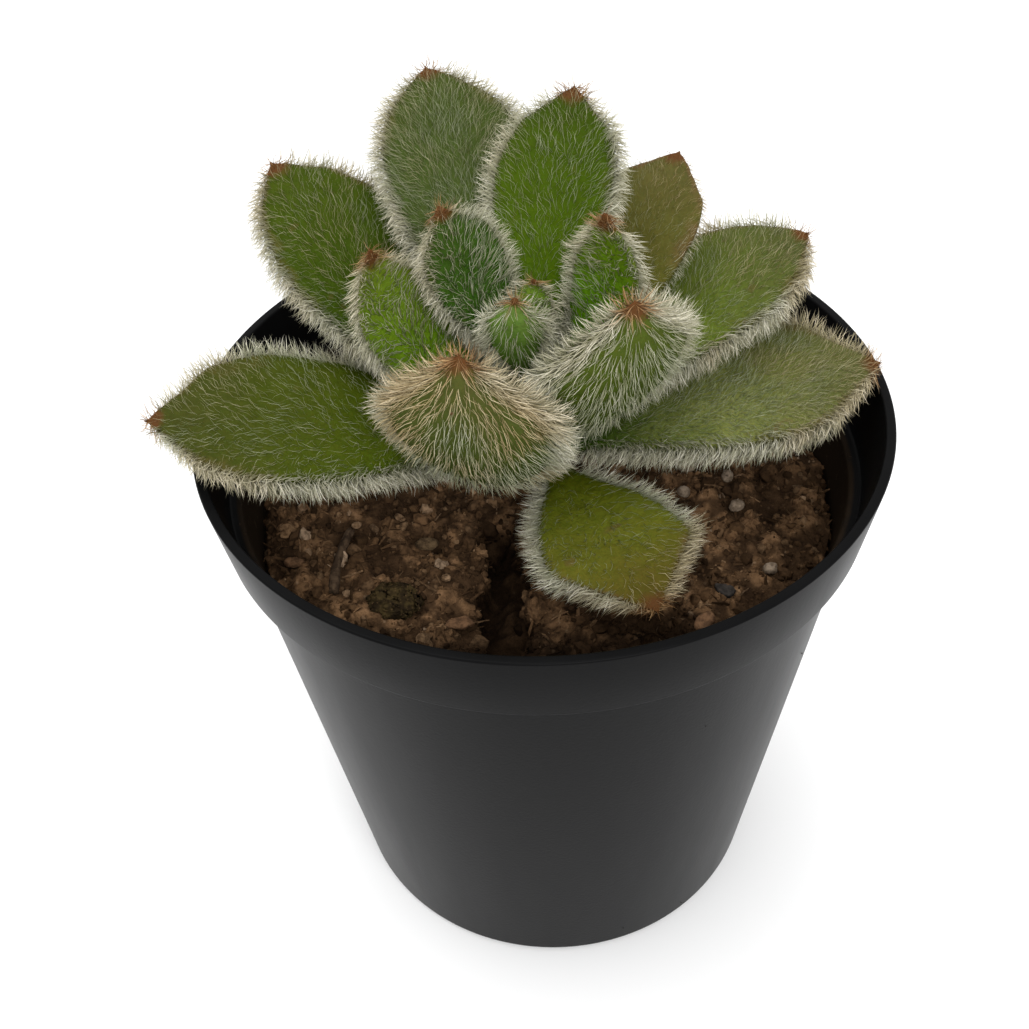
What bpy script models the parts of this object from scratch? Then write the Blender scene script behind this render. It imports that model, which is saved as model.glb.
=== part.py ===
"""A hairy rosette succulent growing in a small round nursery pot.

The origin is the centre of the pot's flat underside and +Z is up. The plant's lowest front leaf
droops towards -Y. Lengths are in metres and angles in degrees.
"""

import math

import bmesh
import bpy
from mathutils import Vector, noise
from mathutils.bvhtree import BVHTree

# Gap left between two pieces that touch.
GAP = 0.0003

# Pot: a moulded taper with a wider band round its mouth.
POT_HEIGHT = 0.0504
RIM_RADIUS = 0.0275
BAND_HEIGHT = 0.0066
BAND_TAPER = 0.0011
BAND_STEP = 0.0011
BASE_RADIUS = 0.0193
WALL = 0.0008
FLOOR = 0.0012
LIP_ROUND = 0.0002
EDGE_ROUND = 0.0010
EDGE_TURNS = (0, 30, 60, 90)
POT_SEGMENTS = 64
DRAIN_HOLES = 5
DRAIN_RADIUS = 0.0022
DRAIN_CIRCLE = 0.0118
DRAIN_SEGMENTS = 16

# Potting mix: a loose lumpy plug well below the rim, with a crevice in front of the stem.
SOIL_BELOW_RIM = 0.0096
LUMP_HEIGHT = 0.0011
LUMP_SIZE = 0.0042
FINE_LUMP_SCALE = 2
FINE_LUMP_SHARE = 0.5
EDGE_DROP = 0.0014
EDGE_WIDTH = 0.0030
CREVICE_DEPTH = 0.0030
CREVICE_HALF_WIDTH = 0.0022
CREVICE_X = -0.0037
CREVICE_START_Y = -0.0020
SOIL_RINGS = 12
SOIL_SEGMENTS = 56

# Stem: short and stout, leaning a little, planted in a hole in the mix. Heights up the stem are
# measured from its collar, which is set by the rim so that the leaves clear it.
COLLAR_BELOW_RIM = 0.0096
STEM_RADIUS = 0.0017
STEM_TIP_RADIUS = 0.0005
STEM_HEIGHT = 0.0128
ROOT_DEPTH = 0.0100
ROOT_SHARE = 0.4
STEM_FOOT_X = 0.0012
STEM_LEAN = -0.17
STEM_STEPS = 4
STEM_SIDES = 14

# Leaf: spoon-shaped, nearly flat above and swollen below, on a narrow base. The lowest one lies
# over the mix, so its height follows the mix; the others go by the collar.
LOWEST_LEAF_ABOVE_MIX = 0.0032
LOWEST_LEAF_HEIGHT = LOWEST_LEAF_ABOVE_MIX + COLLAR_BELOW_RIM - SOIL_BELOW_RIM
LEAF_WIDEST_AT = 0.67
LEAF_BASE_SHARE = 0.20
LEAF_BASE_THICKNESS_SHARE = 0.1134
LEAF_FULLEST_AT = 0.45
THICKNESS_SHARE = 0.27
UPPER_SHARE = 0.30
LEAF_CUP = 0.15
LEAF_STANDOFF = 0.0005
LEAF_SWELL = 1.3
LEAF_SECTION = 2.6
LEAF_TAPER = 2.4
LEAF_TAPER_BLUNTNESS = 0.8
LEAF_STATIONS = 13
LEAF_SIDES = 12

SOIL_TOP = POT_HEIGHT - SOIL_BELOW_RIM
COLLAR_HEIGHT = POT_HEIGHT - COLLAR_BELOW_RIM
LEDGE_HEIGHT = POT_HEIGHT - BAND_HEIGHT
BAND_RADIUS = RIM_RADIUS - BAND_TAPER
BODY_RADIUS = BAND_RADIUS - BAND_STEP

PLASTIC = (0.035, 0.036, 0.038)
MIX_BROWN = (0.085, 0.050, 0.028)
STEM_GREEN = (0.120, 0.110, 0.045)
OLD_LEAF = (0.150, 0.170, 0.060)
GROWN_LEAF = (0.090, 0.150, 0.035)
YOUNG_LEAF = (0.110, 0.170, 0.080)
DRY_LEAF = (0.150, 0.110, 0.060)
TWIG_GREY = (0.115, 0.085, 0.062)
PLASTIC_ROUGHNESS = 0.45
MIX_ROUGHNESS = 0.95
STEM_ROUGHNESS = 0.7
LEAF_ROUGHNESS = 0.6
STONE_ROUGHNESS = 0.85
CHIP_ROUGHNESS = 0.8
TWIG_ROUGHNESS = 0.85

# Faces that meet at more than this angle get a crisp edge between them.
SHARP_ABOVE = 40
SOIL_SHARP_ABOVE = 60
CHIP_SHARP_ABOVE = 25

# name, bearing, height above the collar, rise at the base, rise at the tip, sideways sweep, roll,
# length, width, bluntness (less is blunter), colour
LEAVES = (
    ("leaf_01_front_drooping", -71, LOWEST_LEAF_HEIGHT, 6, -7, 6, 3, 0.0167, 0.0120, 0.65, OLD_LEAF),
    ("leaf_02_left", 189, 0.0057, 18, 9, -4, 8, 0.0295, 0.0134, 0.75, OLD_LEAF),
    ("leaf_03_right", 0, 0.0053, 15, 14, -1, -3, 0.0252, 0.0132, 0.75, GROWN_LEAF),
    ("leaf_04_right_back", 26, 0.0070, 32, 15, -2, -1, 0.0254, 0.0116, 0.85, OLD_LEAF),
    ("leaf_05_left_back", 149, 0.0073, 28, 40, -11, 9, 0.0288, 0.0120, 0.80, GROWN_LEAF),
    ("leaf_06_front_left", -120, 0.0076, 6, 101, 10, -6, 0.0205, 0.0126, 0.75, YOUNG_LEAF),
    ("leaf_07_back_dry", 48, 0.0085, 45, 29, 5, 4, 0.0230, 0.0110, 0.70, DRY_LEAF),
    ("leaf_08_front_right", -48, 0.0092, 30, 86, -9, 7, 0.0182, 0.0122, 0.75, YOUNG_LEAF),
    ("leaf_09_left_upright", 180, 0.0094, 23, 86, -6, 42, 0.0186, 0.0070, 1.00, YOUNG_LEAF),
    ("leaf_10_back_left", 112, 0.0102, 47, 36, -5, 2, 0.0273, 0.0118, 0.80, OLD_LEAF),
    ("leaf_11_right_upright", 5, 0.0103, 45, 103, 3, -42, 0.0166, 0.0060, 1.05, YOUNG_LEAF),
    ("leaf_12_back_right", 75, 0.0121, 57, 42, -6, 6, 0.0218, 0.0096, 0.75, GROWN_LEAF),
    ("leaf_13_back_upright", 147, 0.0131, 57, 71, 4, 18, 0.0135, 0.0070, 0.75, YOUNG_LEAF),
    ("leaf_14_heart_front", -106, 0.0134, 58, 101, 8, 0, 0.0078, 0.0046, 0.75, YOUNG_LEAF),
    ("leaf_15_heart_back", 60, 0.0139, 70, 89, 9, -2, 0.0059, 0.0030, 0.85, YOUNG_LEAF),
)

# name, bearing, share of the way out to the wall, turn, length, width, height, colour
STONES = (
    ("pale_stone_1", 10, 0.52, 20, 0.0022, 0.0019, 0.0014, (0.45, 0.36, 0.27)),
    ("pale_stone_2", 0, 0.64, 70, 0.0013, 0.0010, 0.0009, (0.42, 0.33, 0.24)),
    ("pale_stone_3", -7, 0.485, 0, 0.0012, 0.0011, 0.0009, (0.42, 0.34, 0.25)),
    ("pale_stone_4", -14, 0.667, 40, 0.0015, 0.0011, 0.0010, (0.48, 0.42, 0.32)),
    ("grey_stone", -32, 0.84, 15, 0.0013, 0.0011, 0.0009, (0.32, 0.31, 0.28)),
    ("tan_grain_1", -178, 0.84, 30, 0.0010, 0.0008, 0.0008, (0.52, 0.34, 0.22)),
    ("tan_grain_2", -169, 0.66, 10, 0.0009, 0.0007, 0.0006, (0.45, 0.34, 0.22)),
    ("tan_grain_3", -168, 0.51, -40, 0.0010, 0.0006, 0.0005, (0.50, 0.42, 0.32)),
    ("tan_grain_4", -128, 0.55, 0, 0.0008, 0.0007, 0.0006, (0.50, 0.32, 0.20)),
    ("buff_pebble", -151, 0.465, 5, 0.0021, 0.0012, 0.0010, (0.30, 0.24, 0.15)),
    ("mossy_clod", -135, 0.72, -30, 0.0046, 0.0038, 0.0018, (0.075, 0.062, 0.022)),
)

# name, bearing, share of the way out to the wall, turn, length, width, thickness, corners, colour
CHIPS = (
    ("slate_chip", -44, 0.77, -15, 0.0020, 0.0014, 0.0005, 5, (0.050, 0.048, 0.052)),
    ("bark_chip_front", -56, 0.835, 25, 0.0023, 0.0016, 0.0007, 6, (0.20, 0.115, 0.055)),
    ("bark_chip_left", -161, 0.90, 5, 0.0017, 0.0011, 0.0006, 6, (0.23, 0.12, 0.075)),
    ("bark_flake", -117, 0.66, -10, 0.0025, 0.0014, 0.0004, 5, (0.14, 0.095, 0.060)),
)

STONE_UNEVENNESS = 0.22
STONE_LUMPS = 2.6
STONE_SEED_SCALE = 9000
CHIP_UNEVENNESS = 0.25
CHIP_CORNER_SHIFT = 2.4
CHIP_SEED_SCALE = 5000
CHIP_BEVEL_SHARE = 0.25

TWIG_BEARING = -155.5
TWIG_SHARE = 0.75
TWIG_TURN = 82
TWIG_LENGTH = 0.0072
TWIG_RADIUS = 0.00045
TWIG_BEND = 0.0004
TWIG_TAPER = 0.25
TWIG_KNOT_SHARE = 0.12
TWIG_KNOT_TURNS = 9
TWIG_STATIONS = 6
TWIG_SIDES = 8


def clear_scene():
    for item in list(bpy.data.objects):
        bpy.data.objects.remove(item, do_unlink=True)


def material(name, colour, roughness):
    made = bpy.data.materials.new(name)
    made.use_nodes = True
    shader = made.node_tree.nodes["Principled BSDF"]
    shader.inputs["Base Color"].default_value = (*colour, 1.0)
    shader.inputs["Roughness"].default_value = roughness
    shader.inputs["Metallic"].default_value = 0.0
    return made


def finish(name, bm, parent, colour, roughness, sharp_above=SHARP_ABOVE):
    """Turns a bmesh into a named, shaded object with its own material."""
    bmesh.ops.recalc_face_normals(bm, faces=bm.faces)
    mesh = bpy.data.meshes.new(name)
    bm.to_mesh(mesh)
    bm.free()
    mesh.shade_smooth()
    mesh.set_sharp_from_angle(angle=math.radians(sharp_above))
    mesh.materials.append(material(name, colour, roughness))
    made = bpy.data.objects.new(name, mesh)
    bpy.context.collection.objects.link(made)
    made.parent = parent
    return made


def cutter(name, bm, parent):
    """A helper solid for a Boolean, left out of the model."""
    bmesh.ops.recalc_face_normals(bm, faces=bm.faces)
    mesh = bpy.data.meshes.new(name)
    bm.to_mesh(mesh)
    bm.free()
    made = bpy.data.objects.new(name, mesh)
    bpy.context.collection.objects.link(made)
    made.parent = parent
    made.hide_render = True
    made.display_type = "WIRE"
    return made


def cut(piece, tool):
    modifier = piece.modifiers.new("cut_" + tool.name, "BOOLEAN")
    modifier.operation = "DIFFERENCE"
    modifier.object = tool


def turned(profile, steps):
    """Spins (radius, height) points, from the axis round to the axis, into a closed solid."""
    bm = bmesh.new()
    points = [bm.verts.new((radius, 0, height)) for radius, height in profile]
    edges = [bm.edges.new(pair) for pair in zip(points, points[1:])]
    bmesh.ops.spin(
        bm,
        geom=points + edges,
        cent=(0, 0, 0),
        axis=(0, 0, 1),
        angle=math.tau,
        steps=steps,
    )
    bmesh.ops.remove_doubles(bm, verts=bm.verts, dist=1e-6)
    return bm


def lofted(rings, tip=None):
    """Joins rings of points into a closed solid, with a flat end or a pointed one at the tip."""
    bm = bmesh.new()
    loops = [[bm.verts.new(point) for point in ring] for ring in rings]
    for near, far in zip(loops, loops[1:]):
        for side in range(len(near)):
            after = (side + 1) % len(near)
            bm.faces.new((near[side], near[after], far[after], far[side]))
    bm.faces.new(loops[0])
    if tip is None:
        bm.faces.new(loops[-1])
    else:
        point = bm.verts.new(tip)
        for side in range(len(loops[-1])):
            bm.faces.new((loops[-1][side], loops[-1][(side + 1) % len(loops[-1])], point))
    return bm


def inner_radius(height):
    """The pot's inside radius below the ledge."""
    return BASE_RADIUS + (BODY_RADIUS - BASE_RADIUS) * height / LEDGE_HEIGHT - WALL


def build_pot(parent):
    arc = [
        (
            BASE_RADIUS - EDGE_ROUND + EDGE_ROUND * math.sin(math.radians(turn)),
            EDGE_ROUND - EDGE_ROUND * math.cos(math.radians(turn)),
        )
        for turn in EDGE_TURNS
    ]
    profile = [
        (0, 0),
        *arc,
        (BODY_RADIUS, LEDGE_HEIGHT),
        (BAND_RADIUS, LEDGE_HEIGHT),
        (RIM_RADIUS, POT_HEIGHT - LIP_ROUND),
        (RIM_RADIUS - LIP_ROUND, POT_HEIGHT),
        (RIM_RADIUS - WALL, POT_HEIGHT),
        (BAND_RADIUS - WALL, LEDGE_HEIGHT + WALL),
        (inner_radius(LEDGE_HEIGHT + WALL), LEDGE_HEIGHT + WALL),
        (inner_radius(FLOOR), FLOOR),
        (0, FLOOR),
    ]
    pot = finish("pot", turned(profile, POT_SEGMENTS), parent, PLASTIC, PLASTIC_ROUGHNESS)
    drains = bmesh.new()
    for hole in range(DRAIN_HOLES):
        bearing = math.tau * hole / DRAIN_HOLES + math.pi / 2
        centre = Vector((math.cos(bearing), math.sin(bearing), 0)) * DRAIN_CIRCLE
        made = bmesh.ops.create_cone(
            drains,
            cap_ends=True,
            segments=DRAIN_SEGMENTS,
            radius1=DRAIN_RADIUS,
            radius2=DRAIN_RADIUS,
            depth=4 * FLOOR,
        )
        bmesh.ops.translate(drains, verts=made["verts"], vec=centre)
    cut(pot, cutter("drain_holes", drains, parent))
    return pot


def soil_height(x, y):
    """The mix's upper surface: lumps, a drop at the wall, and the crevice."""
    broad = noise.noise(Vector((x, y, 0)) / LUMP_SIZE)
    fine = noise.noise(Vector((x, y, 1)) / LUMP_SIZE * FINE_LUMP_SCALE)
    lumps = broad + FINE_LUMP_SHARE * fine
    edge = max(0.0, 1 - (inner_radius(SOIL_TOP) - math.hypot(x, y)) / EDGE_WIDTH)
    across = abs(x - CREVICE_X) / CREVICE_HALF_WIDTH
    along = min(1.0, max(0.0, (CREVICE_START_Y - y) / CREVICE_HALF_WIDTH))
    crevice = CREVICE_DEPTH * max(0.0, 1 - across**4) * along
    return SOIL_TOP + LUMP_HEIGHT * lumps - EDGE_DROP * edge**2 - crevice


def build_soil(parent):
    bottom = FLOOR + GAP
    rings = []
    for ring in range(SOIL_RINGS, 0, -1):
        share = ring / SOIL_RINGS
        points = []
        for step in range(SOIL_SEGMENTS):
            bearing = math.tau * step / SOIL_SEGMENTS
            radius = share * (inner_radius(SOIL_TOP - EDGE_DROP) - GAP)
            height = soil_height(radius * math.cos(bearing), radius * math.sin(bearing))
            if ring == SOIL_RINGS:
                radius = inner_radius(height) - GAP
            points.append((radius * math.cos(bearing), radius * math.sin(bearing), height))
        rings.append(points)
    foot = inner_radius(bottom) - GAP
    base = []
    for step in range(SOIL_SEGMENTS):
        bearing = math.tau * step / SOIL_SEGMENTS
        base.append((foot * math.cos(bearing), foot * math.sin(bearing), bottom))
    bm = lofted([base, *rings], tip=(0, 0, soil_height(0, 0)))
    return finish("soil", bm, parent, MIX_BROWN, MIX_ROUGHNESS, SOIL_SHARP_ABOVE)


def stem_axis(height):
    """Where the stem's centre line is at a height above the collar."""
    return Vector((STEM_FOOT_X + STEM_LEAN * height, 0, COLLAR_HEIGHT + height))


def stem_radius(height):
    share = max(0.0, height) / STEM_HEIGHT
    return STEM_RADIUS + (STEM_TIP_RADIUS - STEM_RADIUS) * share


def stem_rings(grow):
    mix_line = SOIL_TOP - COLLAR_HEIGHT
    root_end = mix_line - ROOT_DEPTH
    shares = [step / STEM_STEPS for step in range(STEM_STEPS + 1)]
    above_mix = [mix_line + (STEM_HEIGHT - mix_line) * share for share in shares]
    rings = []
    for height in [root_end, *above_mix]:
        radius = stem_radius(height) + grow
        centre = stem_axis(height)
        if height == root_end:
            radius = ROOT_SHARE * STEM_RADIUS + grow
            centre.z -= grow
        rings.append(
            [
                centre + radius * Vector((math.cos(turn), math.sin(turn), 0))
                for turn in (math.tau * side / STEM_SIDES for side in range(STEM_SIDES))
            ]
        )
    return rings


def build_stem(parent, soil):
    stem = finish("stem", lofted(stem_rings(0)), parent, STEM_GREEN, STEM_ROUGHNESS)
    cut(soil, cutter("stem_hole", lofted(stem_rings(GAP)), parent))
    return stem


def leaf_half_width(along, bluntness):
    """A leaf's half-width as a share of its widest, from its base (0) to its tip (1)."""
    if along < LEAF_WIDEST_AT:
        swell = math.sin(math.pi / 2 * along / LEAF_WIDEST_AT) ** LEAF_SWELL
        return LEAF_BASE_SHARE + (1 - LEAF_BASE_SHARE) * swell
    beyond = (along - LEAF_WIDEST_AT) / (1 - LEAF_WIDEST_AT)
    return (1 - beyond**2) ** bluntness


def leaf_fullness(along):
    """A leaf's thickness as a share of its thickest, from its base (0) to its tip (1)."""
    if along < LEAF_FULLEST_AT:
        swell = math.sin(math.pi / 2 * along / LEAF_FULLEST_AT)
        base = LEAF_BASE_THICKNESS_SHARE / THICKNESS_SHARE
        return base + (1 - base) * swell
    beyond = (along - LEAF_FULLEST_AT) / (1 - LEAF_FULLEST_AT)
    return (1 - beyond**LEAF_TAPER) ** LEAF_TAPER_BLUNTNESS


def leaf_rings(rise_base, rise_tip, sweep, roll, length, width, bluntness):
    """Cross-sections along a curved midrib that starts at the origin and sets out along +X."""
    rings = []
    place = Vector((0, 0, 0))
    pitch = 1 / LEAF_STATIONS
    for station in range(LEAF_STATIONS):
        along = station * pitch
        if station:
            place += midrib(along - pitch / 2, rise_base, rise_tip, sweep) * length * pitch
        forward = midrib(along, rise_base, rise_tip, sweep)
        heading = math.radians(sweep * along)
        level = Vector((math.sin(heading), -math.cos(heading), 0))
        lean = math.radians(roll) * min(1.0, 2 * along)
        across = level * math.cos(lean) + level.cross(forward) * math.sin(lean)
        upward = across.cross(forward)
        half = leaf_half_width(along, bluntness) * width / 2
        thick = leaf_fullness(along) * width * THICKNESS_SHARE
        ring = []
        for side in range(LEAF_SIDES):
            turn = math.tau * side / LEAF_SIDES
            out = math.cos(turn)
            bulge = math.sqrt(max(0.0, 1 - abs(out) ** LEAF_SECTION)) * math.copysign(1, math.sin(turn))
            share = UPPER_SHARE if bulge > 0 else 1 - UPPER_SHARE
            ring.append(
                place + across * half * out + upward * (LEAF_CUP * half * out**2 + thick * share * bulge)
            )
        rings.append(ring)
    tip = place + midrib(1 - pitch / 2, rise_base, rise_tip, sweep) * length * pitch
    return rings, tip


def midrib(along, rise_base, rise_tip, sweep):
    """The midrib's direction at a share of its length."""
    rise = math.radians(rise_base + (rise_tip - rise_base) * along)
    heading = math.radians(sweep * along)
    return Vector((math.cos(rise) * math.cos(heading), math.cos(rise) * math.sin(heading), math.sin(rise)))


def build_leaf(parent, name, bearing, height, *shape_and_colour):
    *shape, colour = shape_and_colour
    rings, tip = leaf_rings(*shape)
    leaf = finish(name, lofted(rings, tip), parent, colour, LEAF_ROUGHNESS)
    out = Vector((math.cos(math.radians(bearing)), math.sin(math.radians(bearing)), 0))
    leaf.location = stem_axis(height) + out * (stem_radius(height) + LEAF_STANDOFF)
    leaf.rotation_euler = (0, 0, math.radians(bearing))
    return leaf


def settle(piece, soil_tree, bearing, share, turn):
    """Turns a loose piece, puts it on the mix and lowers it until it just clears the surface."""
    reach = share * inner_radius(SOIL_TOP)
    x = reach * math.cos(math.radians(bearing))
    y = reach * math.sin(math.radians(bearing))
    spin = math.radians(turn)
    rest = -1.0
    for vertex in piece.data.vertices:
        at_x = x + vertex.co.x * math.cos(spin) - vertex.co.y * math.sin(spin)
        at_y = y + vertex.co.x * math.sin(spin) + vertex.co.y * math.cos(spin)
        below = soil_tree.ray_cast(Vector((at_x, at_y, POT_HEIGHT)), Vector((0, 0, -1)))[0]
        if below is not None:
            rest = max(rest, below.z + GAP - vertex.co.z)
    piece.location = (x, y, rest)
    piece.rotation_euler = (0, 0, spin)


def build_stone(parent, name, length, width, height, colour):
    bm = bmesh.new()
    bmesh.ops.create_icosphere(bm, subdivisions=2, radius=0.5)
    seed = Vector((length, width, height)) * STONE_SEED_SCALE
    for vertex in bm.verts:
        vertex.co *= 1 + STONE_UNEVENNESS * noise.noise(vertex.co * STONE_LUMPS + seed)
    bmesh.ops.scale(bm, vec=(length, width, height), verts=bm.verts)
    return finish(name, bm, parent, colour, STONE_ROUGHNESS)


def build_chip(parent, name, length, width, thickness, corners, colour):
    """A flat chip with uneven corners and bevelled edges."""
    bm = bmesh.new()
    rim = []
    for corner in range(corners):
        bearing = math.tau * corner / corners
        wobble = math.sin(corner * CHIP_CORNER_SHIFT + length * CHIP_SEED_SCALE)
        reach = 0.5 * (1 + CHIP_UNEVENNESS * wobble)
        rim.append(
            bm.verts.new((length * reach * math.cos(bearing), width * reach * math.sin(bearing), 0))
        )
    base = bm.faces.new(rim)
    grown = bmesh.ops.extrude_face_region(bm, geom=[base])
    top = [item for item in grown["geom"] if isinstance(item, bmesh.types.BMVert)]
    bmesh.ops.translate(bm, verts=top, vec=(0, 0, thickness))
    bmesh.ops.bevel(
        bm, geom=bm.edges[:], offset=thickness * CHIP_BEVEL_SHARE, segments=1, affect="EDGES"
    )
    return finish(name, bm, parent, colour, CHIP_ROUGHNESS, CHIP_SHARP_ABOVE)


def build_twig(parent):
    rings = []
    for station in range(TWIG_STATIONS):
        along = station / (TWIG_STATIONS - 1)
        knot = TWIG_KNOT_SHARE * math.sin(along * TWIG_KNOT_TURNS)
        radius = TWIG_RADIUS * (1 - TWIG_TAPER * along + knot)
        bend = TWIG_BEND * math.sin(math.pi * along)
        rings.append(
            [
                (
                    TWIG_LENGTH * (along - 0.5),
                    bend + radius * math.cos(math.tau * side / TWIG_SIDES),
                    radius * math.sin(math.tau * side / TWIG_SIDES),
                )
                for side in range(TWIG_SIDES)
            ]
        )
    return finish("twig", lofted(rings), parent, TWIG_GREY, TWIG_ROUGHNESS)


def surface_of(piece):
    """The piece's evaluated surface, to rest other pieces on."""
    bpy.context.view_layer.update()
    return BVHTree.FromObject(piece, bpy.context.evaluated_depsgraph_get())


def build():
    clear_scene()
    group = bpy.data.objects.new("potted_succulent", None)
    bpy.context.collection.objects.link(group)
    build_pot(group)
    soil = build_soil(group)
    surface = surface_of(soil)
    build_stem(group, soil)
    for leaf in LEAVES:
        build_leaf(group, *leaf)
    for name, bearing, share, turn, *size_and_colour in STONES:
        settle(build_stone(group, name, *size_and_colour), surface, bearing, share, turn)
    for name, bearing, share, turn, *size_and_colour in CHIPS:
        settle(build_chip(group, name, *size_and_colour), surface, bearing, share, turn)
    settle(build_twig(group), surface, TWIG_BEARING, TWIG_SHARE, TWIG_TURN)


build()
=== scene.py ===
"""The looks of a hairy rosette succulent in a small nursery pot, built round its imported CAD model.

Lengths are in metres. The origin is the centre of the pot's underside, +Z is up, -Y is the front.
"""

import math
from collections import namedtuple

import bmesh
import bpy
from mathutils import Matrix, Vector, noise


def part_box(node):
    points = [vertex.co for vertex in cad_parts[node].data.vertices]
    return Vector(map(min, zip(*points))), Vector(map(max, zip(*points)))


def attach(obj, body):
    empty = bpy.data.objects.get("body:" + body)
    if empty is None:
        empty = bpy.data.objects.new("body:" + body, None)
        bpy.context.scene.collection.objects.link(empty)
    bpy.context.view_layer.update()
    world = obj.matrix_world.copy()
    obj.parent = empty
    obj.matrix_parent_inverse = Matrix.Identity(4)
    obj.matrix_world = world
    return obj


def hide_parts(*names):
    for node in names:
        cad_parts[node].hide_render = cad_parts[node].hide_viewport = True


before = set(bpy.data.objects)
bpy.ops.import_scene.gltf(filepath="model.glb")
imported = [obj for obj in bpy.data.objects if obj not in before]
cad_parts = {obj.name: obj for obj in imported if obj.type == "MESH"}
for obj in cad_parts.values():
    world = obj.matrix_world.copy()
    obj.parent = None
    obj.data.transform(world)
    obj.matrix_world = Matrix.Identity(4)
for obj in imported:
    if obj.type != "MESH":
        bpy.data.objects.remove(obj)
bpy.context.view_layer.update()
noise.seed_set(3)

# ---------------------------------------------------------------- studio
# A pale seamless table under a large soft light, with the camera looking down into the pot from
# the front. Shader arithmetic is written through two small helpers, defined here.

CAMERA_RISE = math.radians(42.82)
CAMERA_ROLL = math.radians(-3.085)
CAMERA_TARGET = Vector((-0.00256, 0.0, 0.03825))
CAMERA_DISTANCE = 0.1155
CAMERA_LENS = 47.34
TABLE_HALF_SIDE = 1.5
ROOM_BRIGHTNESS = 0.95
LIGHTS_AIM = (0, 0, 0.04)
OVERHEAD_WATTS = 1.6
FRONT_WATTS = 2.6


class Value:
    """One value inside a material. Arithmetic on it adds the nodes that work it out."""

    def __init__(self, finish, socket):
        self.finish = finish
        self.socket = socket

    def maths(self, operation, *terms):
        return self.finish.node("ShaderNodeMath", {"operation": operation}, dict(enumerate(terms)))

    def __add__(self, other):
        return self.maths("ADD", self, other)

    def __sub__(self, other):
        return self.maths("SUBTRACT", self, other)

    def __rsub__(self, other):
        return self.maths("SUBTRACT", other, self)

    def __mul__(self, other):
        return self.maths("MULTIPLY", self, other)

    def __pow__(self, other):
        return self.maths("POWER", self, other)

    def over(self, low, high):
        """0 below low, 1 above high and smooth between; the other way round if high is lower."""
        return self.finish.node(
            "ShaderNodeMapRange",
            {"interpolation_type": "SMOOTHSTEP"},
            {0: self, 1: min(low, high), 2: max(low, high), 3: float(high < low), 4: float(high > low)},
        )

    __radd__ = __add__
    __rmul__ = __mul__


class Finish:
    """A material being put together round one Principled shader."""

    def __init__(self, name, **constants):
        self.material = bpy.data.materials.new(name)
        self.material.use_nodes = True
        self.tree = self.material.node_tree
        self.shader = self.tree.nodes["Principled BSDF"]
        for socket, amount in constants.items():
            self.shader.inputs[socket.replace("_", " ")].default_value = amount
        self.place = self.node("ShaderNodeTexCoord", output="Object")

    def node(self, kind, settings=None, inputs=None, output=0):
        made = self.tree.nodes.new(kind)
        for key, setting in (settings or {}).items():
            if key == "stops":
                self.set_stops(made.color_ramp, setting)
            else:
                setattr(made, key, setting)
        for key, source in (inputs or {}).items():
            self.feed(made.inputs[key], source)
        return Value(self, made.outputs[output])

    def feed(self, socket, source):
        if isinstance(source, Value):
            self.tree.links.new(source.socket, socket)
        elif socket.type == "RGBA":
            socket.default_value = (*source, 1.0)
        else:
            socket.default_value = source

    @staticmethod
    def set_stops(ramp, stops):
        while len(ramp.elements) < len(stops):
            ramp.elements.new(1.0)
        for element, (position, colour) in zip(ramp.elements, stops):
            element.position = position
            element.color = (*colour, 1.0)

    def noise(self, size, detail=3.0, rough=0.5, stretch=None, warp=0.0):
        """Soft noise from 0 to 1 with features about size metres across."""
        where = self.place
        if stretch:
            where = self.node("ShaderNodeMapping", inputs={"Vector": where, "Scale": stretch})
        inputs = {"Vector": where, "Scale": 1 / size, "Detail": detail, "Roughness": rough}
        inputs["Distortion"] = warp
        return self.node("ShaderNodeTexNoise", inputs=inputs)

    def mixed(self, share, first, second, blend="MIX"):
        settings = {"data_type": "RGBA", "blend_type": blend}
        return self.node("ShaderNodeMix", settings, {0: share, 6: first, 7: second}, output=2)

    def ramp(self, value, stops):
        return self.node("ShaderNodeValToRGB", {"stops": stops}, {0: value})

    def attribute(self, name, output="Fac"):
        return self.node("ShaderNodeAttribute", {"attribute_name": name}, output=output)

    def axis(self, letter):
        return self.node("ShaderNodeSeparateXYZ", inputs={0: self.place}, output=letter)

    def bumped(self, *layers):
        """Feeds Normal from (height, distance in metres) layers."""
        normal = None
        for height, distance in layers:
            inputs = {"Height": height, "Distance": distance}
            if normal:
                inputs["Normal"] = normal
            normal = self.node("ShaderNodeBump", inputs=inputs)
        self.feed(self.shader.inputs["Normal"], normal)

    def shade(self, **sockets):
        for socket, source in sockets.items():
            self.feed(self.shader.inputs[socket.replace("_", " ")], source)


def piece_of(name, mesh, finish):
    """Links a mesh as a visible piece with one material."""
    piece = bpy.data.objects.new(name, mesh)
    bpy.context.collection.objects.link(piece)
    mesh.materials.clear()
    mesh.materials.append(finish.material)
    return piece


camera = bpy.data.objects.new("camera", bpy.data.cameras.new("camera"))
bpy.context.collection.objects.link(camera)
back = Vector((0, -math.cos(CAMERA_RISE), math.sin(CAMERA_RISE)))
level_up = Vector((0, math.sin(CAMERA_RISE), math.cos(CAMERA_RISE)))
level_right = Vector((1, 0, 0))
camera_right = level_right * math.cos(CAMERA_ROLL) + level_up * math.sin(CAMERA_ROLL)
camera_up = level_up * math.cos(CAMERA_ROLL) - level_right * math.sin(CAMERA_ROLL)
camera.matrix_world = Matrix.Translation(CAMERA_TARGET + back * CAMERA_DISTANCE) @ (
    Matrix((camera_right, camera_up, back)).transposed().to_4x4()
)
camera.data.lens = CAMERA_LENS
camera.data.sensor_width = 36.0
camera.data.clip_start = 0.005
bpy.context.scene.camera = camera

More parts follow.
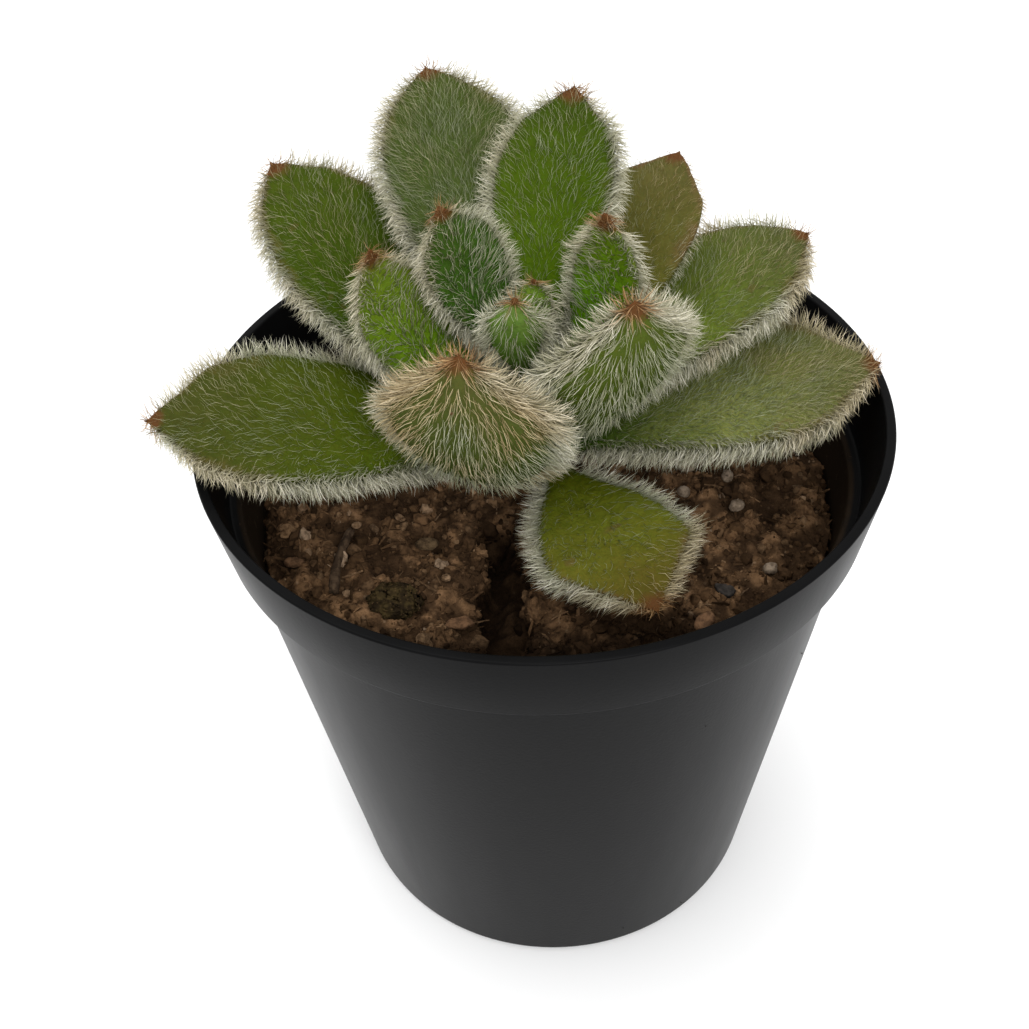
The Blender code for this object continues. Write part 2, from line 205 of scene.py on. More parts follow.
table = bmesh.new()
bmesh.ops.create_grid(table, x_segments=4, y_segments=4, size=TABLE_HALF_SIDE)
table_mesh = bpy.data.meshes.new("table")
table.to_mesh(table_mesh)
table.free()
pale = Finish("pale_table", Roughness=0.9)
pale.shade(Base_Color=pale.mixed(pale.noise(0.02), (0.90, 0.90, 0.90), (0.93, 0.93, 0.93)))
floor = piece_of("table", table_mesh, pale)


def soft_light(name, place, aim, size, watts):
    lamp = bpy.data.lights.new(name, "AREA")
    lamp.shape = "DISK"
    lamp.size = size
    lamp.energy = watts
    holder = bpy.data.objects.new(name, lamp)
    bpy.context.collection.objects.link(holder)
    holder.location = place
    holder.rotation_euler = (Vector(place) - Vector(aim)).to_track_quat("Z", "Y").to_euler()


soft_light("overhead_softbox", (-0.10, 0.05, 0.60), LIGHTS_AIM, 0.50, OVERHEAD_WATTS)
soft_light("front_panel", (0.12, -0.50, 0.45), LIGHTS_AIM, 0.45, FRONT_WATTS)
world = bpy.data.worlds.new("white_room")
world.use_nodes = True
world.node_tree.nodes["Background"].inputs["Color"].default_value = (1.0, 1.0, 1.0, 1.0)
world.node_tree.nodes["Background"].inputs["Strength"].default_value = ROOM_BRIGHTNESS
bpy.context.scene.world = world
bpy.context.scene.view_settings.view_transform = "Standard"

# ---------------------------------------------------------------- pot
# One thin moulding of charcoal polypropylene: a tapered cup whose top steps out into a band, which
# leaves a ledge inside. Its lip is flat, its floor is pierced by five drain holes, and the wall
# above the mix is dusty with peat.

GAP = 0.0003
POT_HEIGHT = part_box("pot")[1][2]
RIM_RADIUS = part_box("pot")[1][1]
BAND_HEIGHT = 0.0066
BAND_TAPER = 0.0011
BAND_STEP = 0.0011
BASE_RADIUS = 0.0193
WALL = 0.0008
FLOOR = 0.0012
DRAIN_HOLES = 5
DRAIN_RADIUS = 0.0022
DRAIN_CIRCLE = 0.0118
LEDGE_HEIGHT = POT_HEIGHT - BAND_HEIGHT
BAND_RADIUS = RIM_RADIUS - BAND_TAPER
BODY_RADIUS = BAND_RADIUS - BAND_STEP
POT_STEPS = 192
DUST_LINE = 0.047
DUST_PER_METRE = 90
SPLASHES_ABOVE = 0.038


def inner_radius(height):
    """The pot's inside radius below the ledge."""
    return BASE_RADIUS + (BODY_RADIUS - BASE_RADIUS) * height / LEDGE_HEIGHT - WALL


def rounded(corners, radii, steps=5):
    """A polyline whose inner corners are turned into arcs of the given radii."""
    points = [Vector(corners[0])]
    for before, corner, after, radius in zip(corners, corners[1:], corners[2:], radii):
        corner = Vector(corner)
        coming = (Vector(before) - corner).normalized()
        going = (Vector(after) - corner).normalized()
        half = coming.angle(going) / 2
        reach = radius / math.tan(half)
        start = corner + coming * reach
        end = corner + going * reach
        centre = corner + (coming + going).normalized() * radius / math.sin(half)
        for step in range(steps + 1):
            along = start.lerp(end, step / steps) - centre
            points.append(centre + along.normalized() * radius)
    return points + [Vector(corners[-1])]


def turned(profile, steps):
    """Spins (radius, height) points from the axis round to the axis into a closed solid."""
    bm = bmesh.new()
    points = [bm.verts.new((radius, 0, height)) for radius, height in profile]
    edges = [bm.edges.new(pair) for pair in zip(points, points[1:])]
    bmesh.ops.spin(bm, geom=points + edges, cent=(0, 0, 0), axis=(0, 0, 1), angle=math.tau, steps=steps)
    bmesh.ops.remove_doubles(bm, verts=bm.verts, dist=1e-7)
    bmesh.ops.recalc_face_normals(bm, faces=bm.faces)
    return bm


def mesh_from(name, bm, sharp_above=30):
    mesh = bpy.data.meshes.new(name)
    bm.to_mesh(mesh)
    bm.free()
    mesh.shade_smooth()
    mesh.set_sharp_from_angle(angle=math.radians(sharp_above))
    return mesh


def baked(piece):
    """Swaps a piece's live modifiers for the plain mesh they make."""
    bpy.context.view_layer.update()
    graph = bpy.context.evaluated_depsgraph_get()
    made = bpy.data.meshes.new_from_object(piece.evaluated_get(graph))
    piece.modifiers.clear()
    piece.data = made
    return piece


pot_corners = [
    (0, 0),
    (BASE_RADIUS, 0),
    (BODY_RADIUS, LEDGE_HEIGHT),
    (BAND_RADIUS, LEDGE_HEIGHT),
    (RIM_RADIUS, POT_HEIGHT),
    (RIM_RADIUS - WALL, POT_HEIGHT),
    (BAND_RADIUS - WALL, LEDGE_HEIGHT + WALL),
    (inner_radius(LEDGE_HEIGHT + WALL), LEDGE_HEIGHT + WALL),
    (inner_radius(FLOOR), FLOOR),
    (0, FLOOR),
]
pot_radii = (0.0010, 0.0002, 0.0002, 0.00016, 0.00016, 0.0003, 0.0003, 0.0006)
pot_mesh = mesh_from("pot_shell", turned(rounded(pot_corners, pot_radii), POT_STEPS), 60)

plastic = Finish("charcoal_plastic", Metallic=0.0, IOR=1.11)
out = (plastic.axis("X") ** 2 + plastic.axis("Y") ** 2) ** 0.5
height = plastic.axis("Z")
inside = (out - height * ((BODY_RADIUS - BASE_RADIUS) / LEDGE_HEIGHT)).over(
    BASE_RADIUS - WALL * 0.3, BASE_RADIUS - WALL * 0.7
)
peat_line = plastic.noise(0.0035, 5.0, 0.65)
dusty = inside * (peat_line + (DUST_LINE - height) * DUST_PER_METRE).over(0.42, 0.75)
specks = plastic.noise(0.0007, 2.0, 0.5).over(0.66, 0.72) * height.over(POT_HEIGHT, SPLASHES_ABOVE)
scuffs = plastic.noise(0.004, 6.0, 0.6, stretch=(1, 1, 0.15))
fine_grain = plastic.noise(0.00025, 2.0)
charcoal = plastic.mixed(scuffs, (0.0024, 0.0024, 0.0025), (0.0046, 0.0046, 0.0048))
charcoal = plastic.mixed(specks * inside * 0.7, charcoal, (0.16, 0.115, 0.07))
charcoal = plastic.mixed(dusty * 0.75, charcoal, (0.022, 0.014, 0.008))
plastic.shade(Base_Color=charcoal, Roughness=0.28 + scuffs * 0.10 + dusty * 0.35)
plastic.bumped((fine_grain, 0.000008), (scuffs, 0.00002), (specks * inside, 0.0001))

pot = piece_of("pot_shell", pot_mesh, plastic)
drill = bmesh.new()
for hole in range(DRAIN_HOLES):
    bearing = math.tau * hole / DRAIN_HOLES + math.pi / 2
    made = bmesh.ops.create_cone(
        drill, cap_ends=True, segments=48, radius1=DRAIN_RADIUS, radius2=DRAIN_RADIUS, depth=4 * FLOOR
    )
    centre = Vector((math.cos(bearing), math.sin(bearing), 0)) * DRAIN_CIRCLE
    bmesh.ops.translate(drill, verts=made["verts"], vec=centre)
drill_object = bpy.data.objects.new("drill", mesh_from("drill", drill))
bpy.context.collection.objects.link(drill_object)
holes = pot.modifiers.new("drain_holes", "BOOLEAN")
holes.operation = "DIFFERENCE"
holes.object = drill_object
baked(pot)
bpy.data.objects.remove(drill_object)
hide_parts("pot")
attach(pot, "root")

# ---------------------------------------------------------------- potting mix
# A loose plug of composted bark, peat and a little grit, pressed in by hand. It has sunk well below
# the rim, shrunk from the wall and split open in front of the stem. Crumbs lie loose all over it.

SOIL_BELOW_RIM = 0.0096
SOIL_TOP = POT_HEIGHT - SOIL_BELOW_RIM
LUMP_HEIGHT = 0.0011
LUMP_SIZE = 0.0042
EDGE_DROP = 0.0014
EDGE_WIDTH = 0.0030
CREVICE_DEPTH = 0.0030
CREVICE_HALF_WIDTH = 0.0022
CREVICE_X = -0.0037
CREVICE_START_Y = -0.0020
CLUMP_SIZE = 0.0019
CLUMP_HEIGHT = 0.0011
CRUMB_SIZE = 0.00055
CRUMB_HEIGHT = 0.00022
GRAIN_SIZE = 0.0004
GRAIN_HEIGHT = 0.00012
WANDER_SIZE = 0.0012
WANDER = 0.35
PATCH_SIZE = 0.006
RAGGED = 0.0016
RAGGED_SIZE = 0.0024
FINE_RAGGED = 0.0006
FINE_RAGGED_SIZE = 0.0008
# Depths below the top where the darkening of the cracks starts and is full: partly damper mix, partly
# painted shade.
DARKENS_BELOW_TOP = 0.0008
DARKEST_BELOW_TOP = 0.0022
SOIL_RINGS = 120
SOIL_STEPS = 400


def soil_height(x, y):
    """The mix's surface as pressed in, without its crumbs."""
    lumps = noise.noise(Vector((x, y, 0)) / LUMP_SIZE)
    lumps += 0.5 * noise.noise(Vector((x, y, 1)) / LUMP_SIZE * 2)
    edge = max(0.0, 1 - (inner_radius(SOIL_TOP) - math.hypot(x, y)) / EDGE_WIDTH)
    ragged = RAGGED * noise.noise(Vector((x, y, 5)) / RAGGED_SIZE)
    ragged += FINE_RAGGED * noise.noise(Vector((x, y, 6)) / FINE_RAGGED_SIZE)
    across = abs(x + ragged - CREVICE_X) / CREVICE_HALF_WIDTH
    along = min(1.0, max(0.0, (CREVICE_START_Y - y) / CREVICE_HALF_WIDTH))
    crevice = CREVICE_DEPTH * max(0.0, 1 - across**4) * along
    return SOIL_TOP + LUMP_HEIGHT * lumps - EDGE_DROP * edge**2 - crevice


def wandering(here):
    """A small sideways drift that keeps clumps and crumbs from looking cut to shape."""
    return noise.noise_vector(here / WANDER_SIZE) * WANDER


def clump_edge(x, y):
    """How far a spot is from the middle of its clump: 0 at the middle, about 0.6 in the gaps."""
    here = Vector((x, y, 0))
    return noise.voronoi(here / CLUMP_SIZE + wandering(here))[0][0]


def crumbled_height(x, y):
    """The mix's surface broken into clumps and crumbs with holes between them."""
    here = Vector((x, y, 0))
    clump = clump_edge(x, y)
    crumb = noise.voronoi(here / CRUMB_SIZE + wandering(here) * 2)[0][0]
    grain = noise.turbulence(here / GRAIN_SIZE, 3, True)
    patch = 0.5 + 0.5 * noise.noise(here / PATCH_SIZE + Vector((7, 3, 1)))
    rise = CLUMP_HEIGHT * (0.3 - clump) * (0.4 + patch) + CRUMB_HEIGHT * (0.3 - crumb)
    return soil_height(x, y) + rise + GRAIN_HEIGHT * (grain - 0.5)


soil = bmesh.new()
foot = FLOOR + GAP
rings = []
for ring in range(SOIL_RINGS + 1):
    share = ring / SOIL_RINGS
    circle = []
    for step in range(SOIL_STEPS):
        bearing = math.tau * step / SOIL_STEPS
        radius = (1 - share) * (inner_radius(SOIL_TOP - EDGE_DROP) - GAP)
        x = radius * math.cos(bearing)
        y = radius * math.sin(bearing)
        z = crumbled_height(x, y)
        if ring == 0:
            radius = inner_radius(z) - GAP
            x = radius * math.cos(bearing)
            y = radius * math.sin(bearing)
        circle.append(soil.verts.new((x, y, z)))
        if ring == SOIL_RINGS:
            break
    rings.append(circle)
foot_radius = inner_radius(foot) - GAP
base = []
for step in range(SOIL_STEPS):
    bearing = math.tau * step / SOIL_STEPS
    base.append(soil.verts.new((foot_radius * math.cos(bearing), foot_radius * math.sin(bearing), foot)))
rings.insert(0, base)
for near, far in zip(rings, rings[1:]):
    for step in range(SOIL_STEPS):
        after = (step + 1) % SOIL_STEPS
        if len(far) == 1:
            soil.faces.new((near[step], near[after], far[0]))
        else:
            soil.faces.new((near[step], near[after], far[after], far[step]))
soil.faces.new(reversed(base))
bmesh.ops.recalc_face_normals(soil, faces=soil.faces)
soil_mesh = mesh_from("potting_mix", soil, 80)
# Painted shade: how deep in the gaps between clumps each point lies, used to darken the mix and its crumbs
# there.
gap_shades = soil_mesh.attributes.new("hollow", "FLOAT", "POINT")
gap_shades.data.foreach_set("value", [clump_edge(vertex.co.x, vertex.co.y) for vertex in soil_mesh.vertices])

# Near-black for the cracks, partly damp mix and partly painted shade, and for the painted shadow of the
# front wall.
DAMP_AND_SHADE = (0.004, 0.002, 0.001)
# Dark peat, also used as the painted shade in the gaps between clumps.
DARK_PEAT_AND_SHADE = (0.020, 0.011, 0.006)
PEAT = (0.175, 0.098, 0.048)
BARK_DUST = (0.290, 0.165, 0.085)
GRIT = (0.40, 0.27, 0.16)
SHADE_STARTS_Y = -0.0125
SHADE_FULL_Y = -0.0185


def damp_and_painted_shade(finish, patches):
    """Painted shade on the mix: darker down in its cracks, partly the damper mix there and partly painted
    shade, and a painted shadow of the front wall across the front.
    """
    depth = finish.axis("Z") + (patches - 0.5) * 0.001
    # Painted shade down in the cracks, partly standing for the damper mix there.
    deep = depth.over(SOIL_TOP - DARKENS_BELOW_TOP, SOIL_TOP - DARKEST_BELOW_TOP)
    # Painted shadow of the front wall across the front of the mix.
    front = (finish.axis("Y") + (patches - 0.5) * 0.004).over(SHADE_STARTS_Y, SHADE_FULL_Y)
    return finish.node("ShaderNodeMath", {"operation": "MAXIMUM"}, {0: deep, 1: front})


peat = Finish("peat_and_bark", Roughness=0.95, Specular_IOR_Level=0.04)
broad = peat.noise(0.004, 4.0, 0.6)
clods = peat.noise(0.0011, 5.0, 0.65)
dust = peat.noise(0.00035, 3.0, 0.6)
brown = peat.ramp(clods, ((0.30, DARK_PEAT_AND_SHADE), (0.52, PEAT), (0.72, BARK_DUST)))
brown = peat.mixed(dust.over(0.5, 0.75) * 0.45, brown, BARK_DUST)
brown = peat.mixed(broad.over(0.55, 0.35) * 0.6, brown, DARK_PEAT_AND_SHADE)
cells = {"Vector": peat.place, "Scale": 900.0}
sparkle = peat.node("ShaderNodeTexVoronoi", inputs=cells, output="Distance")
brown = peat.mixed(sparkle.over(0.16, 0.08) * 0.35, brown, GRIT)
# Painted shade in the gaps between clumps.
brown = peat.mixed(peat.attribute("hollow").over(0.36, 0.62) * 0.75, brown, DARK_PEAT_AND_SHADE)
# Painted shade: darker in the cracks (partly damper mix) and a painted shadow along the front wall.
brown = peat.mixed(damp_and_painted_shade(peat, broad) * 0.85, brown, DAMP_AND_SHADE)
peat.shade(Base_Color=brown)
peat.bumped((clods, 0.0004), (dust, 0.00015))

mix = piece_of("potting_mix", soil_mesh, peat)
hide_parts("soil")
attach(mix, "root")


class Recipe:
    """A Geometry Nodes tree being written, with named inputs for its sizes."""

    def __init__(self, name, **inputs):
        self.tree = bpy.data.node_groups.new(name, "GeometryNodeTree")
        kinds = {"geometry": "NodeSocketGeometry", "number": "NodeSocketFloat", "count": "NodeSocketInt",
                 "material": "NodeSocketMaterial", "collection": "NodeSocketCollection"}
        self.tree.interface.new_socket("Geometry", in_out="INPUT", socket_type=kinds["geometry"])
        self.tree.interface.new_socket("Geometry", in_out="OUTPUT", socket_type=kinds["geometry"])
        for label, kind in inputs.items():
            self.tree.interface.new_socket(label, in_out="INPUT", socket_type=kinds[kind])
        self.given = self.tree.nodes.new("NodeGroupInput")
        self.made = self.tree.nodes.new("NodeGroupOutput")

    def take(self, label):
        return self.given.outputs[label]

    def node(self, kind, settings=None, inputs=None, output=0):
        made = self.tree.nodes.new(kind)
        for key, setting in (settings or {}).items():
            setattr(made, key, setting)
        for key, source in (inputs or {}).items():
            if isinstance(source, bpy.types.NodeSocket):
                self.tree.links.new(source, made.inputs[key])
            else:
                made.inputs[key].default_value = source
        return made.outputs[output]

    def random(self, low, high, seed, kind="FLOAT"):
        """A random number or vector for each point, from its own seed."""
        first = {"FLOAT": 2, "FLOAT_VECTOR": 0, "INT": 4}[kind]
        result = {"FLOAT": 1, "FLOAT_VECTOR": 0, "INT": 2}[kind]
        inputs = {first: low, first + 1: high, "Seed": seed}
        return self.node("FunctionNodeRandomValue", {"data_type": kind}, inputs, result)

    def maths(self, operation, first, second):
        return self.node("ShaderNodeMath", {"operation": operation}, {0: first, 1: second})

    def vectors(self, operation, inputs):
        return self.node("ShaderNodeVectorMath", {"operation": operation}, inputs)

    def upward_part(self, vector):
        return self.node("ShaderNodeSeparateXYZ", inputs={0: vector}, output="Z")

    def named(self, name, kind="FLOAT"):
        return self.node("GeometryNodeInputNamedAttribute", {"data_type": kind}, {"Name": name})

    def strew(self, points, tray, pick, turn, size, tone_seed):
        """Ends the tree: a real shape from the tray at each point, with the material and its own tone."""
        tray_settings = {0: self.take(tray), "Separate Children": True, "Reset Children": True}
        shapes = self.node("GeometryNodeCollectionInfo", inputs=tray_settings)
        where = {"Points": points, "Instance": shapes, "Pick Instance": True, "Instance Index": pick}
        where.update({"Rotation": turn, "Scale": size})
        placed = self.node("GeometryNodeInstanceOnPoints", inputs=where)
        tone = {"Geometry": placed, "Name": "tone", "Value": self.random(0.0, 1.0, tone_seed)}
        per_shape = {"data_type": "FLOAT", "domain": "INSTANCE"}
        toned = self.node("GeometryNodeStoreNamedAttribute", per_shape, tone)
        solid = self.node("GeometryNodeRealizeInstances", inputs={0: toned})
        coated = self.node("GeometryNodeSetMaterial", inputs={0: solid, "Material": self.take("Material")})
        self.tree.links.new(coated, self.made.inputs[0])


HOST_ATTRIBUTES = (
    "hair_share", "hair_length", "hair_lay", "hair_flow", "along", "margin", "upper", "from_tip",
)


def grown_on(name, host, recipe, finish, **settings):
    """A new piece made by running a recipe on a host's mesh."""
    piece = bpy.data.objects.new(name, host.data)
    bpy.context.collection.objects.link(piece)
    modifier = piece.modifiers.new(name, "NODES")
    modifier.node_group = recipe.tree
    settings["Material"] = finish.material
    for item in recipe.tree.interface.items_tree:
        if item.in_out == "INPUT" and item.name in settings:
            modifier[item.identifier] = settings[item.name]
    baked(piece)
    for attribute in list(piece.data.attributes):
        if attribute.name in HOST_ATTRIBUTES:
            piece.data.attributes.remove(attribute)
    return piece


def stock(name, meshes):
    """A hidden tray of small shapes for a recipe to pick from."""
    tray = bpy.data.collections.new(name)
    for number, mesh in enumerate(meshes):
        tray.objects.link(bpy.data.objects.new(f"{name}_{number}", mesh))
    return tray


CRUMB_LUMPINESS = 0.55
CRUMB_STRETCH = 0.12


def crumb_mesh(number, detail, flatness):
    """A lumpy crumb one metre across, to be scaled as it is strewn."""
    bm = bmesh.new()
    bmesh.ops.create_icosphere(bm, subdivisions=detail, radius=0.5)
    for vertex in bm.verts:
        vertex.co *= 1 + CRUMB_LUMPINESS * noise.noise(vertex.co * 2.2 + Vector((number * 3.7, 0, 1)))
        vertex.co.z *= flatness
        vertex.co.x *= 1 + CRUMB_STRETCH * (number % 4)
    return mesh_from(f"crumb_{detail}_{number}", bm, 28)


scatter = Recipe("crumbs_on_mix", Crumbs="collection", Kinds="count", Density="number", Smallest="number",
                 Largest="number", Seed="count", Material="material")
LITTER_STARTS = SOIL_TOP - 0.0032
LITTER_FULL = SOIL_TOP - 0.0012
facing_up = scatter.upward_part(scatter.node("GeometryNodeInputNormal"))
spot_height = scatter.upward_part(scatter.node("GeometryNodeInputPosition"))
on_top = scatter.node(
    "ShaderNodeMapRange",
    {"interpolation_type": "SMOOTHSTEP"},
    {0: spot_height, 1: LITTER_STARTS, 2: LITTER_FULL, 3: 0.0, 4: 1.0},
)
upright = scatter.maths("GREATER_THAN", facing_up, 0.05)
share = scatter.maths("MULTIPLY", scatter.take("Density"), scatter.maths("MULTIPLY", on_top, upright))
spots = scatter.node(
    "GeometryNodeDistributePointsOnFaces",
    {"distribute_method": "RANDOM"},
    {"Mesh": scatter.take("Geometry"), "Density": share, "Seed": scatter.take("Seed")},
)
chance = scatter.maths("POWER", scatter.random(0.0, 1.0, 11), 3.0)
span = scatter.maths("SUBTRACT", scatter.take("Largest"), scatter.take("Smallest"))
size = scatter.maths("ADD", scatter.take("Smallest"), scatter.maths("MULTIPLY", chance, span))
last_kind = scatter.maths("SUBTRACT", scatter.take("Kinds"), 1)
any_kind = scatter.random(0, last_kind, 13, "INT")
any_way = scatter.random((0, 0, 0), (math.tau, math.tau, math.tau), 12, "FLOAT_VECTOR")
scatter.strew(spots, "Crumbs", any_kind, any_way, size, 14)

loose = Finish("loose_crumbs", Roughness=0.93, Specular_IOR_Level=0.04)
tone = loose.attribute("tone")
rubbed = loose.noise(0.0004, 4.0, 0.6)
brown = loose.ramp(
    tone,
    (
        (0.00, (0.030, 0.017, 0.008)),
        (0.30, (0.105, 0.058, 0.028)),
        (0.75, (0.190, 0.106, 0.052)),
        (0.960, (0.280, 0.170, 0.090)),
        (0.985, (0.340, 0.220, 0.130)),
        (1.00, (0.500, 0.360, 0.240)),
    ),
)
brown = loose.mixed(rubbed.over(0.6, 0.35) * 0.6, brown, DARK_PEAT_AND_SHADE)
# Painted shade in the gaps between clumps.
brown = loose.mixed(loose.attribute("hollow").over(0.36, 0.62) * 0.55, brown, DARK_PEAT_AND_SHADE)
# Painted shade on the crumbs too: darker in the cracks (partly damper mix) and a painted shadow along the
# front wall.
brown = loose.mixed(damp_and_painted_shade(loose, loose.noise(0.004, 4.0, 0.6)) * 0.9, brown, DAMP_AND_SHADE)
loose.shade(Base_Color=brown)
loose.bumped((rubbed, 0.0001))

CRUMB_KINDS = 6
SPLINTER_KINDS = 5
SPLINTER_SHAPE = (0.12, 1.0, 0.08)
SPLINTER_WARP = 0.14
SPLINTER_CURL = 0.06
lumps_tray = stock("lump", [crumb_mesh(number, 2, 0.75) for number in range(CRUMB_KINDS)])
grains_tray = stock("grain", [crumb_mesh(number, 1, 0.8) for number in range(CRUMB_KINDS)])
splinter_meshes = []
for number in range(SPLINTER_KINDS):
    bm = bmesh.new()
    bmesh.ops.create_icosphere(bm, subdivisions=1, radius=0.5)
    bmesh.ops.scale(bm, vec=SPLINTER_SHAPE, verts=bm.verts)
    for vertex in bm.verts:
        vertex.co.x += SPLINTER_WARP * math.sin(2.6 * vertex.co.y + number)
        vertex.co.z += SPLINTER_CURL * math.cos(3.1 * vertex.co.y + number)
    splinter_meshes.append(mesh_from(f"splinter_{number}", bm, 28))
splinters_tray = stock("splinter", splinter_meshes)

# name, tray, kinds in it, bits per square metre, smallest, largest, seed
litter = (
    ("mix_lumps", lumps_tray, CRUMB_KINDS, 0.36e6, 0.0005, 0.0016, 3),
    ("mix_crumbs", grains_tray, CRUMB_KINDS, 2.2e6, 0.00022, 0.00085, 4),
    ("bark_splinters", splinters_tray, SPLINTER_KINDS, 1.10e6, 0.0006, 0.0028, 5),
)
for name, tray, kinds, density, smallest, largest, seed in litter:
    bits = grown_on(
        name, mix, scatter, loose, Crumbs=tray, Kinds=kinds, Density=density,
        Smallest=smallest, Largest=largest, Seed=seed,
    )
    bits.data.shade_smooth()
    bits.data.set_sharp_from_angle(angle=math.radians(35))
    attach(bits, "root")

# ---------------------------------------------------------------- stones, chips and twig
# Odd bits lying loose on the mix: pale limestone grit, tan grains, a mossy clod, a slate chip, bark
# and a dead twig. Each is pressed a little way into the crumbs.

PRESSED_IN = 0.00045
BREAK_SIZE = 0.0005
BREAK_DEPTH = 0.00012
CLOD_BREAK_SIZE = 0.0009
CLOD_BREAK_DEPTH = 0.0005
CLOD_PRESSED_IN = 0.0009


def roughened(node, finish, size, depth, levels=2, sink=PRESSED_IN):
    """A CAD bit remade with a broken natural surface, pressed into the mix."""
    bm = bmesh.new()
    bm.from_mesh(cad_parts[node].data)
    bmesh.ops.remove_doubles(bm, verts=bm.verts, dist=2e-6)
    bmesh.ops.recalc_face_normals(bm, faces=bm.faces)
    mesh = mesh_from(node + "_rough", bm)
    piece = piece_of(node + "_rough", mesh, finish)
    smooth = piece.modifiers.new("worn", "SUBSURF")
    smooth.levels = levels
    smooth.render_levels = levels
    baked(piece)
    for vertex in piece.data.vertices:
        shift = noise.noise(vertex.co / size) + 0.5 * noise.noise(vertex.co / size * 2.3)
        vertex.co += vertex.normal * depth * shift
        vertex.co.z -= sink
    piece.data.shade_smooth()
    piece.data.set_sharp_from_angle(angle=math.radians(50))
    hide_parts(node)
    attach(piece, "root")


def mineral(name, pale, dark, patch_size, roughness):
    """Stone, bark or clod: two tones in patches, stained with mix, with a gritty bump."""
    finish = Finish(name, Roughness=roughness, Specular_IOR_Level=0.05)
    patches = finish.noise(patch_size, 5.0, 0.6)
    grit = finish.noise(patch_size / 5, 3.0, 0.6)
    colour = finish.mixed(patches.over(0.38, 0.62), dark, pale)
    colour = finish.mixed(grit.over(0.60, 0.72) * 0.55, colour, PEAT)
    finish.shade(Base_Color=colour)
    finish.bumped((patches, 0.00015), (grit, 0.00008))
    return finish


limestone = mineral("limestone_grit", (0.30, 0.23, 0.165), (0.15, 0.11, 0.075), 0.0007, 0.85)
tan_grit = mineral("tan_grit", (0.30, 0.19, 0.11), (0.16, 0.095, 0.05), 0.0005, 0.8)
moss = mineral("mossy_mix", (0.052, 0.036, 0.014), (0.018, 0.012, 0.006), 0.0009, 0.95)
slate = mineral("slate", (0.044, 0.038, 0.034), (0.022, 0.019, 0.017), 0.0008, 0.7)
bark = mineral("bark", (0.170, 0.092, 0.048), (0.080, 0.044, 0.024), 0.0006, 0.85)
dead_wood = mineral("dead_wood", (0.095, 0.062, 0.038), (0.042, 0.027, 0.017), 0.0006, 0.9)
buff_grit = mineral("buff_pebble", (0.13, 0.085, 0.045), (0.05, 0.032, 0.018), 0.0006, 0.9)

bits = (
    (limestone, "pale_stone", ("pale_stone_1", "pale_stone_2", "pale_stone_3", "pale_stone_4")),
    (limestone, "pale_stone", ("grey_stone",)),
    (tan_grit, "tan_grit", ("tan_grain_1", "tan_grain_2", "tan_grain_3", "tan_grain_4")),
    (buff_grit, "tan_grit", ("buff_pebble",)),
    (slate, "slate", ("slate_chip",)),
    (bark, "bark", ("bark_chip_front", "bark_chip_left", "bark_flake")),
    (dead_wood, "bark", ("twig",)),
)
for finish, slot_name, nodes in bits:
    for node in nodes:
        roughened(node, finish, BREAK_SIZE, BREAK_DEPTH)
roughened(
    "mossy_clod", moss, CLOD_BREAK_SIZE, CLOD_BREAK_DEPTH, levels=3, sink=CLOD_PRESSED_IN
)

# ---------------------------------------------------------------- stem
# A short stout green-brown stem with crowded leaf scars. It leans a little to the left and its
# foot is buried in the mix.

STEM_RADIUS = 0.0017
STEM_TIP_RADIUS = 0.0005
STEM_HEIGHT = 0.0128
STEM_FOOT_X = 0.0012
STEM_LEAN = -0.17
STEM_BURIED = 0.0040
STEM_STATIONS = 80
STEM_SIDES = 32
SCAR_PITCH = 0.0011
SCAR_DEPTH = 0.00014
SCAR_SPIRALS = 3
BARK_WANDER_PER_METRE = 900


def stem_axis(height):
    """Where the stem's centre line is at a height above the mix."""
    return Vector((STEM_FOOT_X + STEM_LEAN * height, 0, SOIL_TOP + height))


def stem_radius(height):
    """How thick the stem is at a height above the mix."""
    share = min(1.0, max(0.0, height) / STEM_HEIGHT)
    return STEM_RADIUS + (STEM_TIP_RADIUS - STEM_RADIUS) * share


def skinned(name, rings, tip):
    """A closed skin over rings of points, from a flat foot to a tip."""
    bm = bmesh.new()
    loops = [[bm.verts.new(point) for point in ring] for ring in rings]
    for near, far in zip(loops, loops[1:]):
        for side in range(len(near)):
            after = (side + 1) % len(near)
            bm.faces.new((near[side], near[after], far[after], far[side]))
    foot = bm.verts.new(sum((Vector(point) for point in rings[0]), Vector()) / len(rings[0]))
    point = bm.verts.new(tip)
    for side in range(len(rings[0])):
        after = (side + 1) % len(rings[0])
        bm.faces.new((loops[0][after], loops[0][side], foot))
        bm.faces.new((loops[-1][side], loops[-1][after], point))
    bmesh.ops.recalc_face_normals(bm, faces=bm.faces)
    return mesh_from(name, bm, 70)


stem_rings = []
for station in range(STEM_STATIONS):
    height = -STEM_BURIED + (STEM_HEIGHT + STEM_BURIED) * station / STEM_STATIONS
    ring = []
    for side in range(STEM_SIDES):
        turn = math.tau * side / STEM_SIDES
        scar = math.sin(math.tau * height / SCAR_PITCH + SCAR_SPIRALS * turn)
        wander = noise.noise(Vector((math.cos(turn), math.sin(turn), height * BARK_WANDER_PER_METRE)))
        radius = stem_radius(height) + SCAR_DEPTH * (scar + wander - 0.8)
        ring.append(stem_axis(height) + radius * Vector((math.cos(turn), math.sin(turn), 0)))
    stem_rings.append(ring)
stem_bark = Finish("stem_skin", Roughness=0.75)
streaks = stem_bark.noise(0.0006, 4.0, 0.6)
stem_green = stem_bark.ramp(streaks, ((0.3, (0.030, 0.020, 0.010)), (0.7, (0.085, 0.085, 0.030))))
stem_bark.shade(Base_Color=stem_green)
stem_bark.bumped((streaks, 0.0001))
